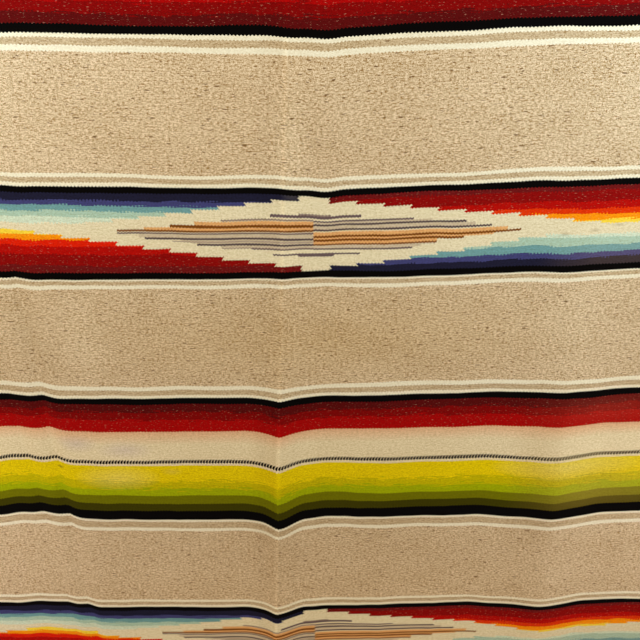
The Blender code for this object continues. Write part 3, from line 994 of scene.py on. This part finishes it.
cotton = plied_cotton()
fringe_head = fringe("fringe_yarns_head", "fringe_head", 1.0, cotton)
fringe_foot = fringe("fringe_yarns_foot", "fringe_foot", -1.0, cotton)

# %% [markdown]
# ## Floor, light and camera
# The floor is plain and pale. In the photograph the middle of the cloth is warm and dim and both
# sides are cooler and brighter, most of all at the top corners. So the room itself gives a warm
# light, and cool softboxes stand at both sides, large ones near the top and small ones at the
# corners. One over each end lights the fringes. The camera looks down at the cloth, tilted 27.6
# degrees off the cloth's normal, with the top of the picture nearer.

# %% Stage
FLOOR_SIZE = 14.0
ROOM_LIGHT = (0.35, 0.238, 0.108, 1.0)
SOFTBOXES = (
    # name, place, aim, size in m, watts, spread in degrees, colour
    ("right softbox", (1.00, 0.60, 0.80), (0.41, 0.20, 0.0), 0.45, 4.40, 80.0, "#d8edff"),
    ("left softbox", (-0.90, 0.60, 0.80), (-0.42, 0.22, 0.0), 0.45, 3.00, 80.0, "#e9f6ff"),
    ("high right softbox", (0.48, 0.42, 0.70), (0.42, 0.25, 0.0), 0.20, 0.15, 40.0, "#aad4ff"),
    ("high left softbox", (-0.46, 0.46, 0.70), (-0.40, 0.30, 0.0), 0.20, 0.19, 40.0, "#aad4ff"),
    ("low right softbox", (0.95, -0.50, 0.70), (0.50, -0.42, 0.0), 0.30, 0.33, 46.0, "#e6edff"),
    ("low left softbox", (-0.95, -0.50, 0.70), (-0.50, -0.46, 0.0), 0.30, 0.37, 46.0, "#e4ebff"),
    ("head softbox", (0.00, 1.05, 1.30), (0.00, 1.00, 0.0), 0.45, 1.70, 60.0, "#fffbf3"),
    ("foot softbox", (0.00, -1.15, 1.30), (0.00, -1.15, 0.0), 0.45, 1.70, 60.0, "#fffbf3"),
)


def stage_floor():
    """A plain floor, painted pale and a little cool, since the room's light is warm."""
    material = bpy.data.materials.new("painted_floor")
    material.use_nodes = True
    shader = material.node_tree.nodes["Principled BSDF"]
    shader.inputs["Base Color"].default_value = linear("#dfe5ec")
    shader.inputs["Roughness"].default_value = 0.85
    corner = 0.5 * FLOOR_SIZE
    mesh = bpy.data.meshes.new("floor")
    mesh.from_pydata(
        [(-corner, -corner, 0.0), (corner, -corner, 0.0), (corner, corner, 0.0), (-corner, corner, 0.0)],
        [], [(0, 1, 2, 3)],
    )
    mesh.materials.append(material)
    floor = bpy.data.objects.new("floor", mesh)
    bpy.context.collection.objects.link(floor)
    return floor


def softbox(name, place, aim, size, watts, spread, colour):
    """A square softbox with a grid over it, which keeps its light within the spread."""
    light = bpy.data.lights.new(name, "AREA")
    light.size = size
    light.energy = watts
    light.spread = math.radians(spread)
    light.color = linear(colour)[:3]
    thing = bpy.data.objects.new(name, light)
    thing.location = place
    thing.rotation_euler = (Vector(aim) - Vector(place)).to_track_quat("-Z", "Y").to_euler()
    bpy.context.collection.objects.link(thing)


floor = stage_floor()
for row in SOFTBOXES:
    softbox(*row)
world = bpy.data.worlds.new("room")
world.use_nodes = True
world.node_tree.nodes["Background"].inputs[0].default_value = ROOM_LIGHT
world.node_tree.nodes["Background"].inputs[1].default_value = 1.0
bpy.context.scene.world = world
bpy.context.scene.view_settings.view_transform = "Standard"

# %% Camera
LENS = 50.0
SENSOR = 36.0
TILT = math.radians(27.6)
CAMERA_AIM = Vector((0.007, -0.1094, 0.004))
CAMERA_DISTANCE = 0.994
lens = bpy.data.cameras.new("camera")
lens.lens = LENS
lens.sensor_width = SENSOR
camera = bpy.data.objects.new("camera", lens)
forward = Vector((0.0, -math.sin(TILT), -math.cos(TILT)))
picture_up = Vector((0.0, math.cos(TILT), -math.sin(TILT)))
turn = Matrix((forward.cross(picture_up), picture_up, -forward)).transposed()
camera.matrix_world = Matrix.Translation(CAMERA_AIM - CAMERA_DISTANCE * forward) @ turn.to_4x4()
bpy.context.collection.objects.link(camera)
bpy.context.scene.camera = camera
